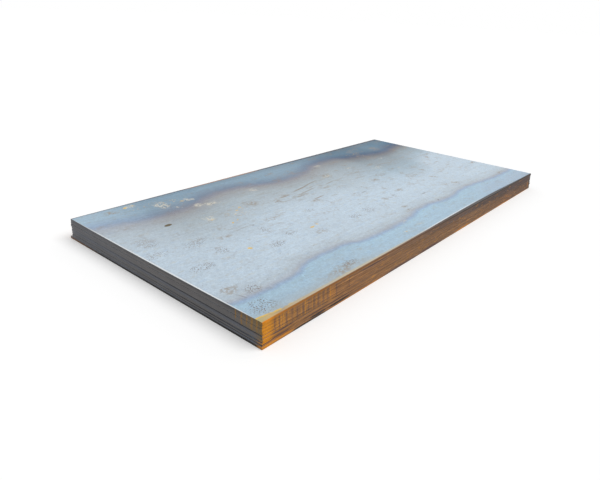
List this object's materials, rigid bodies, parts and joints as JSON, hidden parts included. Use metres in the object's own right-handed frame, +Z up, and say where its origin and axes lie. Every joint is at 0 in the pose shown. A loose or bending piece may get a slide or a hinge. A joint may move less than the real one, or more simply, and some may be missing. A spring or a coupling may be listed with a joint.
{
  "type": "stack of steel plates",
  "caption": "Flat rectangular hot-rolled steel plates with rounded mill edges and sheared ends, lying squarely one on another as raw stock.",
  "frame": {"origin": "centre of the stack's outer box, on the floor that the lowest plate lies on", "axes": "+X along the plates' length, with the weathered near end at -X; +Y across their width, with the rusty near long side at -Y; +Z up through the stack"},
  "size_m": [3.0102, 1.5302, 0.1253],
  "materials": {
    "mill_scale": "satin",
    "edge_rust": "matte"
  },
  "bodies": {
    "root": {"plate_1": "mill_scale", "plate_2": "mill_scale", "plate_3": "mill_scale", "plate_4": "mill_scale", "plate_5": "mill_scale", "plate_6": "mill_scale", "plate_7": "mill_scale", "plate_8": "mill_scale"}
  },
  "joints": []
}
